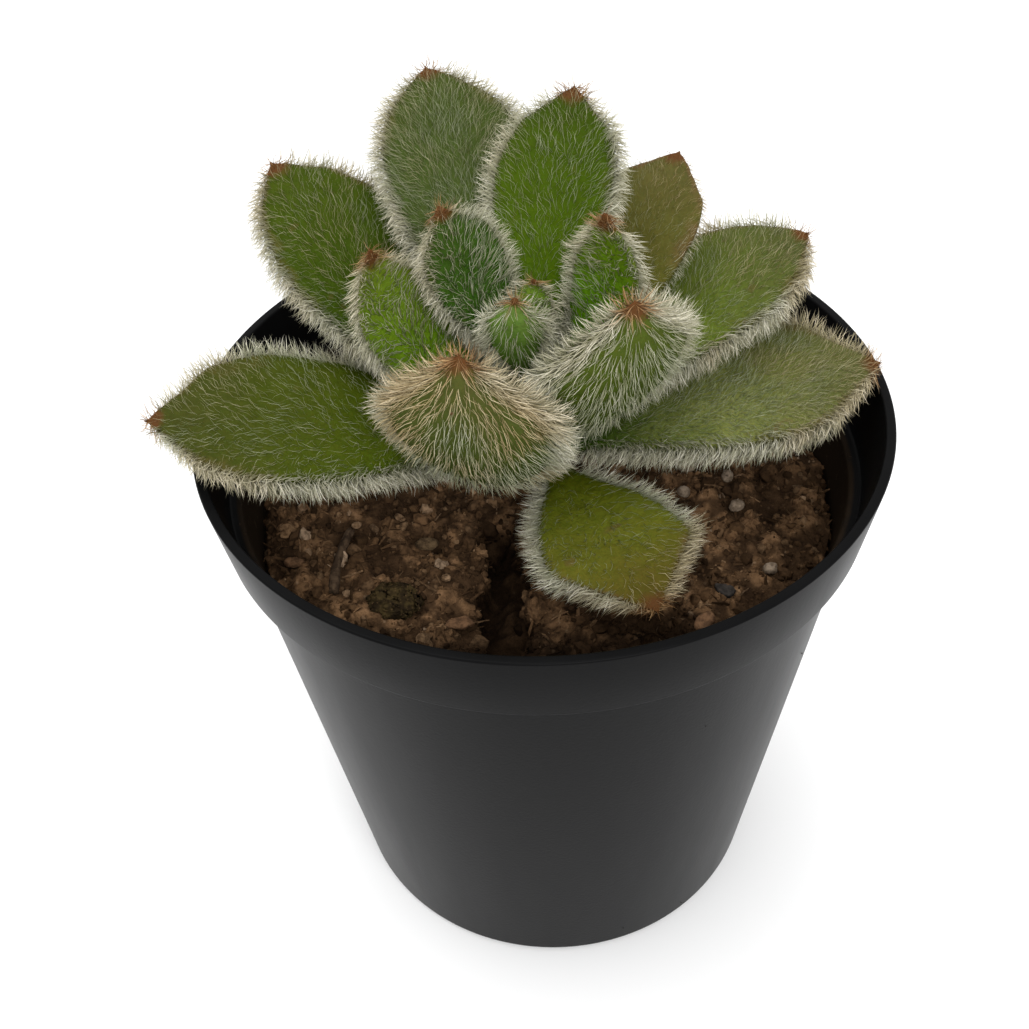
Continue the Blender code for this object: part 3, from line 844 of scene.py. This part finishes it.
stem_mesh = skinned("leafy_stem", stem_rings, stem_axis(STEM_HEIGHT))
stem = piece_of("leafy_stem", stem_mesh, stem_bark)
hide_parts("stem")
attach(stem, "root")

# ---------------------------------------------------------------- leaves
# Thick spoon-shaped leaves grown one by one from the stem: nearly flat above, swollen below, with a
# blunt red-brown point. The oldest lie out over the rim and the youngest still stand upright.

LEAF_WIDEST_AT = 0.67
LEAF_BASE_SHARE = 0.20
LEAF_BASE_FULLNESS = 0.42
LEAF_FULLEST_AT = 0.45
WIDTH_POWER = 1.3
TAPER_POWER = 2.4
TAPER_BLUNTNESS = 0.8
SECTION_POWER = 2.6
THICKNESS_SHARE = 0.27
UPPER_SHARE = 0.30
LEAF_CUP = 0.15
LEAF_STANDOFF = 0.0005
LEAF_STATIONS = 76
LEAF_SIDES = 44
POINT_STARTS = 0.945
POINT_ENDS = 1.012
POINT_RADIUS = 0.00034
POINT_SLOPE = 1.1
POINT_THICKER = 1.6
RIPPLE = 0.00016
RIPPLE_SIZE = 0.0028
UPPER_STROKE = 0.7
UNDER_STROKE = -0.9
OUTWARD_STROKE = 1.1
TOUSLE = 0.5
TOUSLE_SIZE = 0.0016
TIP_REACH = 0.0019
TIP_SHARE = 0.12

TIP_RUST = (0.090, 0.038, 0.012)
DRY_PATCH = (0.100, 0.062, 0.024)
UNDERSIDE = (0.065, 0.080, 0.025)
MOTTLE_SHADE = (0.62, 0.66, 0.55)
CLOUD_SIZE = 0.0032
MOTTLE_SIZE = 0.0008
PORE_SIZE = 0.0002
DRY_SPOT_SIZE = 0.0022

# Hairs per square mm, their length in mm and how far they lie over, for the upper face and for the
# underside; then hairs per square mm and their length in mm along the edge.
Coat = namedtuple("Coat", "upper_share upper_length upper_lay under_share under_length under_lay "
                  "edge_share edge_length")
BALD = Coat(4.5, 1.25, 2.4, 9.0, 1.2, 0.7, 44.0, 1.65)
FUZZY = Coat(7.0, 1.25, 2.0, 10.0, 1.3, 0.6, 44.0, 1.65)
FELTED = Coat(16.0, 1.15, 2.2, 10.0, 1.3, 0.6, 44.0, 1.65)
WOOLLY = Coat(16.0, 1.7, 1.4, 6.8, 1.4, 1.5, 44.0, 1.80)
DOWNY = Coat(12.0, 1.4, 1.6, 6.8, 1.2, 1.4, 44.0, 1.40)
SCURFY = Coat(6.0, 0.8, 2.0, 6.0, 0.8, 0.8, 14.0, 0.9)
YOUNG_COATS = (WOOLLY, DOWNY)

# name, bearing, height up the stem, rise at the base, rise at the tip, sideways sweep, roll, length,
# width, bluntness, base colour, middle colour, tip colour, dryness, hair coat, slot
LEAVES = (
    ("leaf_01_front_drooping", -71, 0.0032, 6, -7, 6, 3, 0.0167, 0.0120, 0.65,
     (0.066, 0.083, 0.001), (0.115, 0.128, 0.011), (0.083, 0.062, 0.009), 0.75, BALD, "old_leaf"),
    ("leaf_02_left", 189, 0.0057, 18, 9, -4, 8, 0.0295, 0.0134, 0.75,
     (0.041, 0.073, 0.001), (0.046, 0.064, 0.002), (0.045, 0.051, 0.007), 0.35, BALD, "old_leaf"),
    ("leaf_03_right", 0, 0.0053, 15, 14, -1, -3, 0.0252, 0.0132, 0.75,
     (0.029, 0.070, 0.001), (0.160, 0.176, 0.046), (0.080, 0.086, 0.023), 0.55, FELTED, "grown_leaf"),
    ("leaf_04_right_back", 26, 0.0070, 32, 15, -2, -1, 0.0254, 0.0116, 0.85,
     (0.071, 0.101, 0.007), (0.095, 0.131, 0.014), (0.066, 0.075, 0.019), 0.55, FUZZY, "old_leaf"),
    ("leaf_05_left_back", 149, 0.0073, 28, 40, -11, 9, 0.0288, 0.0120, 0.80,
     (0.042, 0.070, 0.001), (0.032, 0.059, 0.001), (0.045, 0.067, 0.004), 0.45, FUZZY, "grown_leaf"),
    ("leaf_06_front_left", -120, 0.0076, 6, 101, 10, -6, 0.0205, 0.0126, 0.75,
     (0.050, 0.074, 0.011), (0.048, 0.079, 0.008), (0.060, 0.062, 0.010), 0.90, WOOLLY, "young_leaf"),
    ("leaf_07_back_dry", 48, 0.0085, 45, 29, 5, 4, 0.0230, 0.0110, 0.70,
     (0.068, 0.087, 0.008), (0.088, 0.084, 0.013), (0.086, 0.077, 0.019), 0.90, SCURFY, "dry_leaf"),
    ("leaf_08_front_right", -48, 0.0092, 30, 86, -9, 7, 0.0182, 0.0122, 0.75,
     (0.042, 0.066, 0.004), (0.046, 0.074, 0.003), (0.058, 0.083, 0.004), 0.15, WOOLLY, "young_leaf"),
    ("leaf_09_left_upright", 180, 0.0094, 23, 86, -6, 42, 0.0186, 0.0070, 1.00,
     (0.110, 0.205, 0.010), (0.108, 0.205, 0.006), (0.110, 0.158, 0.012), 0.30, DOWNY, "young_leaf"),
    ("leaf_10_back_left", 112, 0.0102, 47, 36, -5, 2, 0.0273, 0.0118, 0.80,
     (0.052, 0.079, 0.011), (0.047, 0.070, 0.014), (0.044, 0.063, 0.010), 0.30, FELTED, "old_leaf"),
    ("leaf_11_right_upright", 5, 0.0103, 45, 103, 3, -42, 0.0166, 0.0060, 1.05,
     (0.092, 0.205, 0.004), (0.092, 0.220, 0.004), (0.095, 0.155, 0.006), 0.25, DOWNY, "young_leaf"),
    ("leaf_12_back_right", 75, 0.0121, 57, 42, -6, 6, 0.0218, 0.0096, 0.75,
     (0.056, 0.114, 0.001), (0.049, 0.087, 0.001), (0.033, 0.056, 0.002), 0.20, FUZZY, "grown_leaf"),
    ("leaf_13_back_upright", 147, 0.0131, 57, 71, 4, 18, 0.0135, 0.0070, 0.75,
     (0.038, 0.086, 0.008), (0.030, 0.076, 0.006), (0.036, 0.072, 0.008), 0.20, DOWNY, "young_leaf"),
    ("leaf_14_heart_front", -106, 0.0134, 58, 101, 8, 0, 0.0078, 0.0046, 0.75,
     (0.120, 0.212, 0.031), (0.113, 0.226, 0.025), (0.125, 0.212, 0.035), 0.15, DOWNY, "young_leaf"),
    ("leaf_15_heart_back", 60, 0.0139, 70, 89, 9, -2, 0.0059, 0.0030, 0.85,
     (0.120, 0.220, 0.026), (0.132, 0.240, 0.022), (0.132, 0.212, 0.022), 0.15, DOWNY, "young_leaf"),
)


def leaf_half_width(along, blunt):
    """Half-width as a share of the widest, from the base (0) to the tip (1)."""
    if along < LEAF_WIDEST_AT:
        swell = math.sin(math.pi / 2 * along / LEAF_WIDEST_AT) ** WIDTH_POWER
        return LEAF_BASE_SHARE + (1 - LEAF_BASE_SHARE) * swell
    beyond = min(1.0, (along - LEAF_WIDEST_AT) / (1 - LEAF_WIDEST_AT))
    return (1 - beyond**2) ** blunt


def leaf_fullness(along):
    """Thickness as a share of the thickest, from the base (0) to the tip (1)."""
    if along < LEAF_FULLEST_AT:
        swell = math.sin(math.pi / 2 * along / LEAF_FULLEST_AT)
        return LEAF_BASE_FULLNESS + (1 - LEAF_BASE_FULLNESS) * swell
    beyond = min(1.0, (along - LEAF_FULLEST_AT) / (1 - LEAF_FULLEST_AT))
    return (1 - beyond**TAPER_POWER) ** TAPER_BLUNTNESS


def point_radius(along):
    """How thick the hard little point that ends the leaf is."""
    share = (along - POINT_STARTS) / (POINT_ENDS - POINT_STARTS)
    return POINT_RADIUS * math.sqrt(1 - share**2) if 0 <= share < 1 else 0.0


def midrib(along, rise_base, rise_tip, sweep):
    """The midrib's direction at a share of its length, setting out along +X."""
    rise = math.radians(rise_base + (rise_tip - rise_base) * along)
    heading = math.radians(sweep * along)
    return Vector((math.cos(rise) * math.cos(heading), math.cos(rise) * math.sin(heading), math.sin(rise)))


def leaf_shape(rise_base, rise_tip, sweep, roll, length, width, blunt):
    """The leaf's rings, its tip, and for each point its place along, its share out to the edge, which
    side it is on, its distance to the edge, the way its hairs are combed and where it is."""
    rings = []
    facts = []
    place = Vector()
    pitch = POINT_ENDS / LEAF_STATIONS
    for station in range(LEAF_STATIONS):
        along = station * pitch
        if station:
            place += midrib(along - pitch / 2, rise_base, rise_tip, sweep) * length * pitch
        forward = midrib(along, rise_base, rise_tip, sweep)
        heading = math.radians(sweep * along)
        level = Vector((math.sin(heading), -math.cos(heading), 0))
        lean = math.radians(roll) * min(1.0, 2 * along)
        across = level * math.cos(lean) + level.cross(forward) * math.sin(lean)
        upward = across.cross(forward)
        point = point_radius(along)
        cone = (POINT_ENDS - along) * length * POINT_SLOPE
        half = max(min(leaf_half_width(along, blunt) * width / 2, cone), point)
        thick = max(min(leaf_fullness(along) * width * THICKNESS_SHARE, cone), point * POINT_THICKER)
        ring = []
        for side in range(LEAF_SIDES):
            turn = math.tau * side / LEAF_SIDES
            out = math.cos(turn)
            bulge = math.sqrt(max(0.0, 1 - abs(out) ** SECTION_POWER)) * math.copysign(1, math.sin(turn))
            share = UPPER_SHARE if bulge > 0 else 1 - UPPER_SHARE
            spot = place + across * half * out + upward * (LEAF_CUP * half * out**2 + thick * share * bulge)
            ring.append(spot)
            stroke = UPPER_STROKE if bulge > 0 else UNDER_STROKE
            tousled = TOUSLE * noise.noise_vector(spot / TOUSLE_SIZE)
            combed = across * out * OUTWARD_STROKE + forward * stroke + tousled
            facts.append((along, abs(out), float(math.sin(turn) > 0), half * (1 - abs(out)), combed, spot))
        rings.append(ring)
    tip = place + forward * length * pitch
    return rings, tip, facts


def leaf_finish(name, base, middle, tip, dryness):
    """Leaf skin: green drifting to olive, mottled, dried at the edge in patches, rusty at the point."""
    skin = Finish(name, Subsurface_Weight=0.10, Subsurface_Scale=0.0007, Specular_IOR_Level=0.05)
    along = skin.attribute("along")
    margin = skin.attribute("margin")
    under = 1 - skin.attribute("upper")
    clouds = skin.noise(CLOUD_SIZE, 4.0, 0.6)
    mottle = skin.noise(MOTTLE_SIZE, 4.0, 0.62)
    pores = skin.noise(PORE_SIZE, 2.0, 0.5)
    green = skin.ramp(along + (clouds - 0.5) * 0.35, ((0.05, base), (0.5, middle), (0.93, tip)))
    green = skin.mixed(mottle.over(0.62, 0.38) * 0.45, green, MOTTLE_SHADE, "MULTIPLY")
    green = skin.mixed(under * 0.25, green, UNDERSIDE)
    dry_edge = (margin + (clouds - 0.5) * 0.9 + along * 0.3).over(1.05, 1.3) * along.over(0.45, 0.75)
    dry_spots = skin.noise(DRY_SPOT_SIZE, 3.0, 0.5, warp=0.6).over(0.67, 0.74)
    dry = dry_edge * dryness + dry_spots * (dryness * 0.7)
    green = skin.mixed(dry.maths("MINIMUM", dry, 1.0), green, DRY_PATCH)
    ragged = (mottle - 0.5) * 0.6 + (clouds - 0.5) * 0.4
    rust = (skin.attribute("from_tip") + ragged).over(1.0, 0.5)
    skin.shade(Base_Color=skin.mixed(rust, green, TIP_RUST), Roughness=0.58 + mottle * 0.2)
    skin.bumped((clouds, 0.0002), (mottle, 0.00010), (pores, 0.00003))
    return skin


# ---------------------------------------------------------------- hairs
# Every leaf wears soft cream hairs, each a single tapering curved strand. They splay out in a fringe
# along the edges, stand thick on young leaves and undersides, and lie thin over old leaves.

EDGE_BAND = 0.0008
EDGE_LAY = 0.9
UNDER_TINT = 0.62
FINE_ABOVE = 0.75
CLUMPING = 0.35
CLUMPING_SIZE = 0.0015
SINGE_SIZE = 0.0006
WEATHERING_SIZE = 0.004
WEATHERING_START = Vector((13.6, 0, 0))
RUFFLE = 0.42
SPECKS_PER_SQUARE_METRE = 0.07e6
SMALLEST_SPECK = 0.00018
LARGEST_SPECK = 0.00050
SPECKS_ON_LEAVES_WIDER_THAN = 0.01
STRAND_SIDES = 3
STRAND_BOW = 1.2
STRAND_SWAY = 0.4
STRAND_TAPER = ((-0.04, 1.0), (0.34, 0.85), (0.70, 0.55))

# How thick each kind of strand is and how far it bends, for one of unit length. The stiff ones come first.
STRANDS = (
    (0.020, 0.08), (0.020, 0.18), (0.020, 0.30), (0.020, -0.14),
    (0.015, 0.30), (0.015, 0.45), (0.015, -0.38), (0.015, 0.22),
)
STIFF_STRANDS = 4


def strand_mesh(number, thickness, bend):
    """One hair of unit length: a three-sided tapering arc, closed at both ends."""
    bm = bmesh.new()
    turns = [math.tau * side / STRAND_SIDES for side in range(STRAND_SIDES)]
    around = [Vector((math.cos(turn), math.sin(turn), 0)) for turn in turns]
    loops = []
    for station, radius in STRAND_TAPER:
        sway = bend * STRAND_SWAY * math.sin(4 * station)
        centre = Vector((bend * station**2 * STRAND_BOW, sway, station))
        loops.append([bm.verts.new(centre + thickness * radius * way) for way in around])
    tip = bm.verts.new((bend * STRAND_BOW, bend * STRAND_SWAY * math.sin(4), 1.0))
    for near, far in zip(loops, loops[1:]):
        for side in range(STRAND_SIDES):
            after = (side + 1) % STRAND_SIDES
            bm.faces.new((near[side], near[after], far[after], far[side]))
    for side in range(STRAND_SIDES):
        bm.faces.new((loops[-1][side], loops[-1][(side + 1) % STRAND_SIDES], tip))
    bm.faces.new(reversed(loops[0]))
    mesh = mesh_from(f"strand_{number}", bm, 180)
    reach = mesh.attributes.new("reach", "FLOAT", "POINT")
    reach.data.foreach_set("value", [max(0.0, vertex.co.z) for vertex in mesh.vertices])
    return mesh


coat = Recipe("leaf_hairs", Strands="collection", Thickest="number", Ruffle="number", Seed="count",
              Material="material")
rooted = coat.tree.nodes.new("GeometryNodeDistributePointsOnFaces")
coat.tree.links.new(coat.take("Geometry"), rooted.inputs["Mesh"])
coat.tree.links.new(coat.take("Seed"), rooted.inputs["Seed"])
hairs_here = coat.maths("MULTIPLY", coat.named("hair_share"), coat.take("Thickest"))
coat.tree.links.new(hairs_here, rooted.inputs["Density"])
flow = coat.named("hair_flow", "FLOAT_VECTOR")
combing = coat.vectors("SCALE", {0: flow, "Scale": coat.named("hair_lay")})
astray = coat.random((-1, -1, -1), (1, 1, 1), 21, "FLOAT_VECTOR")
messy = coat.vectors("SCALE", {0: astray, "Scale": coat.take("Ruffle")})
upright_and_combed = coat.vectors("ADD", {0: rooted.outputs["Normal"], 1: combing})
leaning = coat.vectors("ADD", {0: upright_and_combed, 1: messy})
aimed = coat.node("FunctionNodeAlignRotationToVector", {"axis": "Z"}, {"Vector": leaning})
rolled = coat.node(
    "FunctionNodeAxisAngleToRotation", inputs={"Axis": (0, 0, 1), "Angle": coat.random(0.0, math.tau, 22)}
)
turned_strand = coat.node("FunctionNodeRotateRotation", {"rotation_space": "LOCAL"}, {0: aimed, 1: rolled})
hair_size = coat.maths("MULTIPLY", coat.named("hair_length"), coat.random(0.55, 1.2, 23))
is_fine = coat.maths("GREATER_THAN", coat.named("fine"), FINE_ABOVE)
fine_ones = coat.maths("MULTIPLY", is_fine, STIFF_STRANDS)
strand_kind = coat.maths("ADD", coat.random(0, STIFF_STRANDS - 1, 24, "INT"), fine_ones)
coat.strew(rooted.outputs["Points"], "Strands", strand_kind, turned_strand, hair_size, 25)

HAIR_ROOT = (0.13, 0.15, 0.05)
GREEN_THROUGH = (0.13, 0.175, 0.055)
FLEECE = ((0.0, (0.31, 0.30, 0.20)), (0.6, (0.57, 0.545, 0.40)), (1.0, (0.90, 0.86, 0.73)))
CHARRED = ((0.0, (0.080, 0.036, 0.010)), (0.5, (0.27, 0.135, 0.047)), (1.0, (0.56, 0.36, 0.17)))
SAND = ((0.0, (0.17, 0.105, 0.035)), (0.6, (0.42, 0.295, 0.125)), (1.0, (0.72, 0.57, 0.33)))

cream = Finish("cream_hair", Roughness=0.55, Specular_IOR_Level=0.3)
strand_tone = cream.attribute("tone")
fleece = cream.ramp(strand_tone, FLEECE)
fleece = cream.mixed(cream.attribute("reach").over(0.6, 0.0) * 0.45, fleece, HAIR_ROOT)
fleece = cream.mixed(cream.attribute("fine") * 0.65, fleece, GREEN_THROUGH)
fleece = cream.mixed(cream.attribute("sandy") * 0.85, fleece, cream.ramp(strand_tone, SAND))
fleece = cream.mixed(cream.attribute("singed"), fleece, cream.ramp(strand_tone, CHARRED))
cream.shade(Base_Color=fleece)
cream.bumped((cream.noise(0.0002, 2.0), 0.00001))

strands_tray = stock("strand", [strand_mesh(number, *strand) for number, strand in enumerate(STRANDS)])


def blended(value, low, high):
    """0 at low, 1 at high and smooth between; low may be the larger."""
    share = min(1.0, max(0.0, (value - low) / (high - low)))
    return share * share * (3 - 2 * share)


def thickest_of(hairs):
    """The most hairs per square mm anywhere on the leaf."""
    return max(hairs.upper_share, hairs.under_share, hairs.edge_share)


def hair_numbers(hairs, dryness, tip_reach, place, fact, tip):
    """What one point of a leaf's skin tells the shader and the hairs that grow there."""
    along, out, upper, inset, combed, spot = fact
    from_tip = (spot - tip).length / tip_reach
    edge = blended(inset, EDGE_BAND, 0.0) if inset <= EDGE_BAND else 0.0
    thin, short, lay = hairs[0:3] if upper else hairs[3:6]
    grown = 0.25 + 0.75 * blended(along, 0.1, 0.5) if upper else 0.55 + 0.6 * blended(along, 0.15, 0.7)
    thin = thin * grown * (1 + CLUMPING * noise.noise(place / CLUMPING_SIZE))
    share = (thin + (hairs.edge_share - thin) * edge) / thickest_of(hairs)
    length = 0.001 * (short + (hairs.edge_length - short) * edge)
    weathered = along + 0.5 * noise.noise(place / WEATHERING_SIZE + WEATHERING_START)
    tinted = 1.0 if upper and hairs not in YOUNG_COATS else UNDER_TINT
    return {
        "along": along,
        "margin": out,
        "upper": upper,
        "hair_share": share * blended(along, 0.02, 0.1),
        "hair_length": length * (1 - 0.3 * blended(from_tip, 1.0, 0.0)),
        "hair_lay": lay + (EDGE_LAY - lay) * edge,
        "singed": blended(from_tip + 0.3 * noise.noise(place / SINGE_SIZE), 1.0, 0.5),
        "sandy": dryness * blended(weathered, 0.55, 0.95),
        "fine": (1 - edge) * tinted,
        "from_tip": from_tip,
    }


def build_leaf(seed, name, bearing, height, rise_base, rise_tip, sweep, roll, length, width, blunt,
               base, middle, tip_colour, dryness, hairs, slot_name):
    """One leaf: its skin, its coat of hairs and, on the broad young leaves, specks of peat."""
    rings, tip, facts = leaf_shape(rise_base, rise_tip, sweep, roll, length, width, blunt)
    mesh = skinned(name + "_skin", rings, tip)
    outward = Vector((math.cos(math.radians(bearing)), math.sin(math.radians(bearing)), 0))
    start = stem_axis(height) + outward * (stem_radius(height) + LEAF_STANDOFF)
    turn = Matrix.Rotation(math.radians(bearing), 4, "Z")
    mesh.transform(Matrix.Translation(start) @ turn)
    at_foot = (0.0, 0.0, 0.0, 0.0, Vector(), Vector())
    at_tip = (POINT_ENDS, 0.0, 0.0, 0.0, Vector(), tip)
    facts = facts + [at_foot, at_tip]
    tip_reach = min(TIP_REACH, TIP_SHARE * length)
    rows = [
        hair_numbers(hairs, dryness, tip_reach, vertex.co, fact, tip)
        for vertex, fact in zip(mesh.vertices, facts)
    ]
    for label in rows[0]:
        column = [row[label] for row in rows]
        mesh.attributes.new(label, "FLOAT", "POINT").data.foreach_set("value", column)
    combed_round = [turn.to_3x3() @ fact[4] for fact in facts]
    flows = mesh.attributes.new("hair_flow", "FLOAT_VECTOR", "POINT")
    flows.data.foreach_set("vector", [number for way in combed_round for number in way])
    normals = [vertex.normal.copy() for vertex in mesh.vertices]
    for vertex, normal, fact in zip(mesh.vertices, normals, facts):
        ripple = noise.noise(vertex.co / RIPPLE_SIZE) + 0.4 * noise.noise(vertex.co / RIPPLE_SIZE * 3)
        vertex.co += normal * RIPPLE * ripple * blended(fact[0], 0.0, 0.2)
    leaf = piece_of(name + "_skin", mesh, leaf_finish(name + "_skin", base, middle, tip_colour, dryness))
    hair = grown_on(
        name + "_hairs", leaf, coat, cream, Strands=strands_tray, Thickest=thickest_of(hairs) * 1e6,
        Ruffle=RUFFLE, Seed=seed,
    )
    if hairs is WOOLLY and width > SPECKS_ON_LEAVES_WIDER_THAN:
        specks = grown_on(
            name + "_peat_specks", leaf, scatter, loose, Crumbs=grains_tray, Kinds=CRUMB_KINDS,
            Density=SPECKS_PER_SQUARE_METRE, Smallest=SMALLEST_SPECK, Largest=LARGEST_SPECK, Seed=seed,
        )
        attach(specks, "root")
    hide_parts(name)
    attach(leaf, "root")
    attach(hair, "root")


for number, leaf in enumerate(LEAVES):
    build_leaf(number + 1, *leaf)
